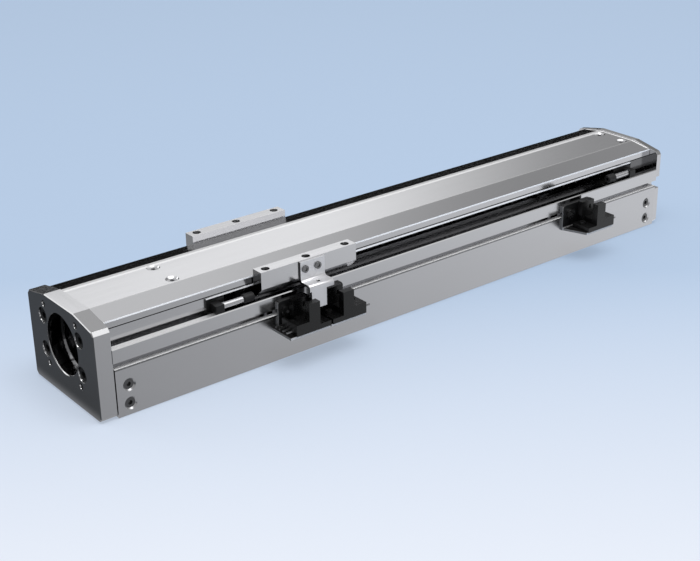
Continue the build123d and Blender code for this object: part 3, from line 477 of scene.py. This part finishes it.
def lathe_x(profile, segments, radius_at):
    """A surface of revolution about the screw's axis. radius_at changes the radius by place and angle."""
    verts = []
    faces = []
    for x, radius in profile:
        for i in range(segments):
            angle = 2 * math.pi * i / segments
            r = radius_at(x, radius, angle)
            verts.append((x, r * math.sin(angle), SCREW_Z + r * math.cos(angle)))
    rings = len(profile)
    for j in range(rings - 1):
        for i in range(segments):
            a = j * segments + i
            b = j * segments + (i + 1) % segments
            faces.append((a, b, b + segments, a + segments))
    faces.append(tuple(range(segments - 1, -1, -1)))
    faces.append(tuple((rings - 1) * segments + i for i in range(segments)))
    return verts, faces


def make_screw():
    """The ball screw with its rolled thread, in place of the plain shaft."""
    low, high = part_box("ball_screw_shaft")
    x0, x1 = low[0] / MM, high[0] / MM
    lead = 10.0
    groove_half = 1.75
    groove_depth = 1.15
    run_out = 4.0
    step = 0.42
    input_radius, seat_radius, collar_radius, thread_radius = 3.0, 4.0, 5.5, 6.0
    relief_radius, support_radius = 4.2, 3.0
    thread_start = x0 + 46.0
    thread_end = x1 - 15.9

    def groove(x, radius, angle):
        if not thread_start <= x <= thread_end:
            return radius
        fade = min(1.0, (x - thread_start) / run_out, (thread_end - x) / run_out)
        phase = (x / lead - angle / (2 * math.pi)) % 1.0
        away = abs(phase - 0.5) * lead
        if away >= groove_half:
            return radius
        return radius - fade * groove_depth * math.sqrt(1.0 - (away / groove_half) ** 2)

    profile = [(x0, 2.4), (x0 + 0.6, input_radius), (x0 + 17.6, input_radius), (x0 + 18.0, 3.2),
               (x0 + 18.0, seat_radius), (x0 + 37.4, seat_radius), (x0 + 37.5, collar_radius),
               (thread_start - 0.9, collar_radius), (thread_start - 0.3, thread_radius)]
    steps = int((thread_end - thread_start) / step)
    profile += [(thread_start + (thread_end - thread_start) * i / steps, thread_radius)
                for i in range(steps + 1)]
    profile += [(thread_end + 0.4, 5.6), (thread_end + 0.5, relief_radius), (x1 - 8.5, relief_radius),
                (x1 - 8.4, support_radius), (x1 - 0.5, support_radius), (x1, 2.6)]
    verts, faces = lathe_x(profile, 40, groove)
    obj = add_piece("screw_with_thread", verts, faces, MATERIALS["screw_steel"], "screw")
    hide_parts("ball_screw_shaft")


def thread_in_hole(name, centre, axis, radius, depth, pitch, body, slot):
    """A helical thread just inside a tapped hole's wall."""
    root_inset, crest_inset = 0.02, 0.30
    flank = 0.42                    # half the thread's width, as a share of its pitch
    first, mouth = -0.25, 0.2       # start of the helix, and its distance from the hole's mouth
    verts = []
    faces = []
    around = 20
    turns = int(depth / pitch)
    rows = turns * around
    z_axis = Vector(axis).normalized()
    x_axis = z_axis.orthogonal().normalized()
    y_axis = z_axis.cross(x_axis)
    centre = Vector(centre)
    for i in range(rows + 1):
        angle = 2 * math.pi * i / around
        along = first - pitch * i / around
        out = x_axis * math.cos(angle) + y_axis * math.sin(angle)
        for inset, shift in ((root_inset, flank), (crest_inset, 0.0), (root_inset, -flank)):
            verts.append(tuple(centre + out * (radius - inset) + z_axis * (along - mouth + shift * pitch)))
    for i in range(rows):
        a = i * 3
        faces.append((a, a + 1, a + 4, a + 3))
        faces.append((a + 1, a + 2, a + 5, a + 4))
    add_piece(name, verts, faces, THREAD, body)


def make_threads():
    """Threads in the six holes of the wings and in the four small holes of the drive end plate."""
    wing_hole_y, wing_hole_pitch = 28.3, 22.5
    motor_hole = 14.4               # each way from the screw's axis
    table_thread = dict(radius=2.0, depth=8.0, pitch=0.7, body="carriage", slot="carriage_metal")
    motor_thread = dict(radius=1.5, depth=7.4, pitch=0.6, body="base", slot="end_plate_metal")
    low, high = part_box("carriage_block")
    middle = (low[0] + high[0]) / 2 / MM
    top = high[2] / MM
    count = 0
    for y in (-wing_hole_y, wing_hole_y):
        for step in (-1, 0, 1):
            count += 1
            thread_in_hole("table_thread_%d" % count, (middle + wing_hole_pitch * step, y, top), (0, 0, 1),
                           **table_thread)
    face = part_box("drive_end_plate")[0][0] / MM
    count = 0
    for y in (-motor_hole, motor_hole):
        for z in (-motor_hole, motor_hole):
            count += 1
            thread_in_hole("motor_thread_%d" % count, (face, y, SCREW_Z + z), (-1, 0, 0), **motor_thread)


make_screw()
make_threads()


# Stage: pale floor and soft studio light
FLOOR_SIZE = 6.0                    # half its side, in metres
FLOOR_BELOW = 0.0004
FLOOR_DEPTH = (0.618, 0.786, 0.0)   # heading from the camera's side to the back
FLOOR_FRONT = -0.285                # along that heading the near colour ends and the far one is reached
FLOOR_BACK = 0.02
FLOOR_NEAR = (0.77, 0.80, 0.865)
FLOOR_FAR = (0.437, 0.549, 0.712)
BACKDROP = (0.48, 0.60, 0.78)

# Painted reflection: the floor as only the metal sees it, dark ahead of the drive end, then brighter along
# the rail
MIRRORED_AHEAD = (0.045, 0.046, 0.046)
MIRRORED_START = (0.40, 0.405, 0.415)
MIRRORED_END = (0.86, 0.87, 0.89)
ALONG_RAIL = (-0.175, 0.19)
AHEAD_ENDS = (-0.186, -0.178)
CAMERA_GLOW = 0.62                  # share of the floor's colour that the camera sees without its shadow
# share of the painted reflection that the metal sees as plain glow, without the object's shadow
GLOSSY_GLOW = 0.95


def make_floor():
    """A wide pale floor, bluer further back. The camera sees its plain colour together with the object's soft
    shadow. The metal sees a painted reflection instead: a floor that is dark in front of the drive end and
    brightens along the rail."""
    size = FLOOR_SIZE
    corners = [(-size, -size, 0), (size, -size, 0), (size, size, 0), (-size, size, 0)]
    mesh = bpy.data.meshes.new("floor")
    mesh.from_pydata(corners, [], [(0, 1, 2, 3)])
    floor = bpy.data.objects.new("floor", mesh)
    floor.location = (0, 0, -FLOOR_BELOW)
    bpy.context.scene.collection.objects.link(floor)
    material, t = material_tree("floor_pale")
    coord = t.add("ShaderNodeTexCoord")
    place = coord.outputs["Object"]
    back = t.remap(t.dot(place, FLOOR_DEPTH), FLOOR_FRONT, FLOOR_BACK, 0.0, 1.0)
    seen = t.mix(back, FLOOR_NEAR, FLOOR_FAR)
    along = t.remap(t.dot(place, (1.0, 0.0, 0.0)), *ALONG_RAIL, 0.0, 1.0)
    mirrored = t.mix(along, MIRRORED_START, MIRRORED_END)
    ahead = t.remap(t.dot(place, (1.0, 0.0, 0.0)), *AHEAD_ENDS, 0.0, 1.0, True)
    mirrored = t.mix(ahead, MIRRORED_AHEAD, mirrored)
    path = t.add("ShaderNodeLightPath")
    glossy = path.outputs["Is Glossy Ray"]
    diffuse = t.add("ShaderNodeBsdfDiffuse")
    t.link(seen, diffuse.inputs["Color"])
    glow = t.add("ShaderNodeEmission")
    t.link(t.mix(glossy, seen, mirrored), glow.inputs["Color"])
    glow.inputs["Strength"].default_value = 1.0
    share = t.math("ADD", t.both(path.outputs["Is Camera Ray"], CAMERA_GLOW), t.both(glossy, GLOSSY_GLOW))
    mix = t.add("ShaderNodeMixShader")
    t.link(share, mix.inputs["Fac"])
    t.link(diffuse.outputs["BSDF"], mix.inputs[1])
    t.link(glow.outputs["Emission"], mix.inputs[2])
    t.link(mix.outputs["Shader"], t.out.inputs["Surface"])
    floor.data.materials.append(material)


def direction(azimuth, elevation):
    a, e = math.radians(azimuth), math.radians(elevation)
    return (math.cos(e) * math.cos(a), math.cos(e) * math.sin(a), math.sin(e))


def sine(degrees):
    return math.sin(math.radians(degrees))


def cosine(degrees):
    return math.cos(math.radians(degrees))


# The dark part of the room ends at a slanted line, higher on the left than on the right
HORIZON = Vector(direction(62, 19.5)).cross(Vector(direction(41, 12.5))).normalized()
HORIZON = tuple(HORIZON if HORIZON.z > 0 else -HORIZON)
HORIZON_SOFT = (-0.5, 3.5)          # degrees about that line, from dark to lit

# Light of the room by azimuth, in degrees from +X towards +Y, and the heights between its low and high part
LOW_RISE, LOW_LEVELS = (40, 54.3), (0.38, 1.26)
LOW_FALL, LOW_LOSS = (75, 100), (0.0, 0.75)
HIGH_RISE, HIGH_LEVELS = (36, 54), (0.36, 0.80)
LOW_TO_HIGH = (25, 29)
ROOM_LEAST = 0.008
ROOM_COLOR = (0.985, 0.99, 1.0, 1.0)

# Soft boxes of the studio: azimuth from +X towards +Y, elevation, inner and outer radius in degrees, strength
SOFT_BOXES = [
    (-50, 55, 16, 28, 1.3),
    (118, 24, 10, 20, 1.6),
    (0, 90, 20, 40, 0.5),
]


def make_world():
    """Grey studio: black near a slanted horizon and lit above it, with a few soft boxes. The camera sees one
    plain backdrop colour there instead."""
    world = bpy.data.worlds.new("studio")
    bpy.context.scene.world = world
    world.use_nodes = True
    t = Tree(world.node_tree, "ShaderNodeOutputWorld")
    coord = t.add("ShaderNodeTexCoord")
    ray = coord.outputs["Generated"]
    above = t.dot(ray, HORIZON)
    shown = t.remap(above, *map(sine, HORIZON_SOFT), 0.0, 1.0, True)
    split = t.add("ShaderNodeSeparateXYZ")
    t.link(ray, split.inputs[0])
    turn = t.math("ARCTAN2", split.outputs[1], split.outputs[0])
    height = split.outputs[2]
    low = t.math("SUBTRACT", t.remap(turn, *map(math.radians, LOW_RISE), *LOW_LEVELS, True),
                 t.remap(turn, *map(math.radians, LOW_FALL), *LOW_LOSS, True))
    high = t.remap(turn, *map(math.radians, HIGH_RISE), *HIGH_LEVELS, True)
    share = t.remap(height, *map(sine, LOW_TO_HIGH), 0.0, 1.0, True)
    blend = t.add("ShaderNodeMix")
    t.link(share, blend.inputs[0])
    t.link(low, blend.inputs[2])
    t.link(high, blend.inputs[3])
    total = t.math("ADD", t.both(shown, blend.outputs[0]), ROOM_LEAST)
    for azimuth, elevation, inner, outer, strength in SOFT_BOXES:
        near = t.dot(ray, direction(azimuth, elevation))
        total = t.math("ADD", total, t.remap(near, cosine(outer), cosine(inner), 0.0, strength, True))
    back = t.add("ShaderNodeBackground")
    back.inputs["Color"].default_value = ROOM_COLOR
    t.link(total, back.inputs["Strength"])
    seen = t.add("ShaderNodeBackground")
    seen.inputs["Color"].default_value = (*BACKDROP, 1.0)
    path = t.add("ShaderNodeLightPath")
    mix = t.add("ShaderNodeMixShader")
    t.link(path.outputs["Is Camera Ray"], mix.inputs["Fac"])
    t.link(back.outputs["Background"], mix.inputs[1])
    t.link(seen.outputs["Background"], mix.inputs[2])
    t.link(mix.outputs["Shader"], t.out.inputs["Surface"])


def area_light(name, place, target, size, power):
    data = bpy.data.lights.new(name, "AREA")
    data.shape = "RECTANGLE"
    data.size, data.size_y = size
    data.energy = power
    lamp = bpy.data.objects.new(name, data)
    place = Vector(place)
    lamp.location = place
    lamp.rotation_euler = (Vector(target) - place).to_track_quat("-Z", "Y").to_euler()
    bpy.context.scene.collection.objects.link(lamp)


make_floor()
make_world()
area_light("key_overhead", place=(-0.1, -0.25, 1.2), target=(0, 0, 0), size=(0.9, 0.7), power=9.0)

bpy.context.scene.view_settings.view_transform = "Standard"
